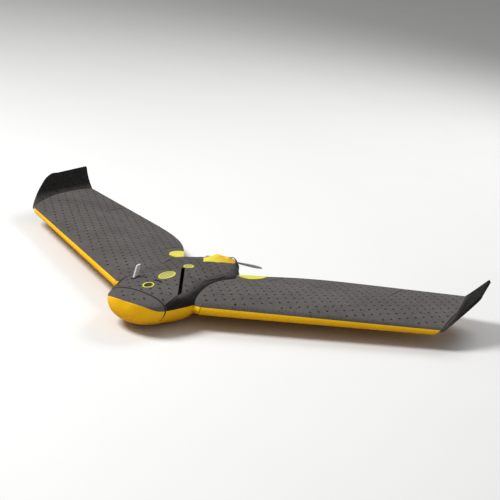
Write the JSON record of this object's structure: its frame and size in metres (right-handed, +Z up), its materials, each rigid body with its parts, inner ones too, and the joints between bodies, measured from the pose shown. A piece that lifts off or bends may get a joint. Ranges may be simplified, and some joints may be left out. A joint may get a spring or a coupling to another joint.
{
  "type": "fixed wing drone",
  "caption": "Foam flying-wing mapping drone with swept wings, canted winglets, elevons, a raised body with a battery hatch, a belly camera and a pusher propeller.",
  "frame": {"origin": "below the middle of the outer box, on the plane that the belly rests on", "axes": "+X to the aircraft's left, across the span; nose towards -Y; +Z up"},
  "size_m": [0.9648, 0.581, 0.0889],
  "materials": {
    "foam_black": "moulded foam, dull",
    "foam_yellow": "moulded foam, dull",
    "plastic_yellow": "moulded, half gloss",
    "plastic_lime": "moulded, half gloss",
    "label_face": "printed label, satin",
    "smoked_lens": "smoked, glossy",
    "plastic_grey": "satin",
    "plastic_dark": "satin",
    "plastic_white": "nylon",
    "propeller_grey": "glass-filled nylon",
    "rubber_black": "matt",
    "battery_wrap": "shrink wrap",
    "heatshrink": "shrink wrap",
    "circuit_board": "solder mask",
    "ceramic_tan": "ceramic",
    "brass_pin": "bare",
    "copper_winding": "enamelled wire",
    "steel": "bright",
    "metal_dark": "anodised",
    "plate_metal": "machined",
    "carbon_tube": "carbon fibre",
    "lens_glass": "coated"
  },
  "bodies": {
    "airframe": {"belly_hull": "foam_yellow", "upper_shell": "foam_black", "nose_lip": "foam_black", "nose_chin": "foam_yellow", "nose_seal": "rubber_black", "tail_fairing": "plastic_yellow", "battery_pack": "battery_wrap", "battery_connector": "plastic_yellow", "camera_body": "plastic_dark", "camera_lens_barrel": "metal_dark", "camera_lens_glass": "lens_glass", "camera_port_ring": "plastic_dark", "autopilot_board": "circuit_board", "satellite_receiver": "ceramic_tan", "radio_modem": "plastic_dark", "radio_antenna": "brass_pin", "speed_controller": "heatshrink", "ground_sensor": "plastic_dark", "spar_tube": "carbon_tube", "receiver_mark_rim": "plastic_lime", "receiver_mark_plate": "label_face", "motor_mount": "plate_metal", "motor_mount_screws": "steel", "motor_stator": "copper_winding"},
    "hatch": {"battery_hatch": "foam_black", "hatch_label_rim": "plastic_lime", "hatch_label_plate": "label_face", "status_light_rim": "plastic_lime", "status_light_plate": "smoked_lens", "hatch_grip": "rubber_black", "airspeed_probe": "plastic_grey", "probe_foot": "plastic_dark"},
    "rotor": {"motor_bell": "metal_dark", "motor_shaft": "steel", "propeller_adapter": "plate_metal", "propeller": "propeller_grey", "propeller_nut": "steel"},
    "left_wing": {"left_wing_upper": "foam_black", "left_wing_lower": "foam_yellow", "left_winglet": "foam_black", "left_root_fairing": "plastic_lime", "left_servo": "plastic_dark", "left_spar_sleeve": "carbon_tube"},
    "left_elevon_flap": {"left_elevon": "foam_black", "left_elevon_horn": "plastic_dark"},
    "left_arm": {"left_servo_arm": "plastic_white"},
    "left_rod": {"left_pushrod": "steel"},
    "right_wing": {"right_wing_upper": "foam_black", "right_wing_lower": "foam_yellow", "right_winglet": "foam_black", "right_root_fairing": "plastic_lime", "right_servo": "plastic_dark", "right_spar_sleeve": "carbon_tube"},
    "right_elevon_flap": {"right_elevon": "foam_black", "right_elevon_horn": "plastic_dark"},
    "right_arm": {"right_servo_arm": "plastic_white"},
    "right_rod": {"right_pushrod": "steel"}
  },
  "joints": [
    {"name": "hatch_lift", "type": "slide", "parent": "airframe", "child": "hatch", "axis": [0, 0, 1], "range_m": [0, 0.06]},
    {"name": "propeller_spin", "type": "hinge", "parent": "airframe", "child": "rotor", "pos_m": [0, 0.121, 0.032], "axis": [0, 1, 0], "continuous": true},
    {"name": "left_wing_pull", "type": "slide", "parent": "airframe", "child": "left_wing", "axis": [1, 0, 0], "range_m": [0, 0.12]},
    {"name": "left_elevon_hinge", "type": "hinge", "parent": "left_wing", "child": "left_elevon_flap", "pos_m": [0.19, 0.07812, 0.04622], "axis": [0.8719, 0.4896, 0.0097], "range_deg": [-20, 20]},
    {"name": "left_servo_turn", "type": "hinge", "parent": "left_wing", "child": "left_arm", "pos_m": [0.21356, 0.0363, 0.03923], "axis": [0.8719, 0.4896, 0.0097], "range_deg": [-20, 20]},
    {"name": "left_rod_swing", "type": "hinge", "parent": "left_arm", "child": "left_rod", "pos_m": [0.21377, 0.03642, 0.01423], "axis": [0.8719, 0.4896, 0.0097], "range_deg": [-20, 20]},
    {"name": "right_wing_pull", "type": "slide", "parent": "airframe", "child": "right_wing", "axis": [-1, 0, 0], "range_m": [0, 0.12]},
    {"name": "right_elevon_hinge", "type": "hinge", "parent": "right_wing", "child": "right_elevon_flap", "pos_m": [-0.19, 0.07812, 0.04622], "axis": [0.8719, -0.4896, -0.0097], "range_deg": [-20, 20]},
    {"name": "right_servo_turn", "type": "hinge", "parent": "right_wing", "child": "right_arm", "pos_m": [-0.21356, 0.0363, 0.03923], "axis": [0.8719, -0.4896, -0.0097], "range_deg": [-20, 20]},
    {"name": "right_rod_swing", "type": "hinge", "parent": "right_arm", "child": "right_rod", "pos_m": [-0.21377, 0.03642, 0.01423], "axis": [0.8719, -0.4896, -0.0097], "range_deg": [-20, 20]}
  ],
  "couplings": [
    {"joint": "left_servo_turn", "follows": "left_elevon_hinge", "ratio": 1},
    {"joint": "left_rod_swing", "follows": "left_elevon_hinge", "ratio": -1},
    {"joint": "right_servo_turn", "follows": "right_elevon_hinge", "ratio": 1},
    {"joint": "right_rod_swing", "follows": "right_elevon_hinge", "ratio": -1}
  ]
}
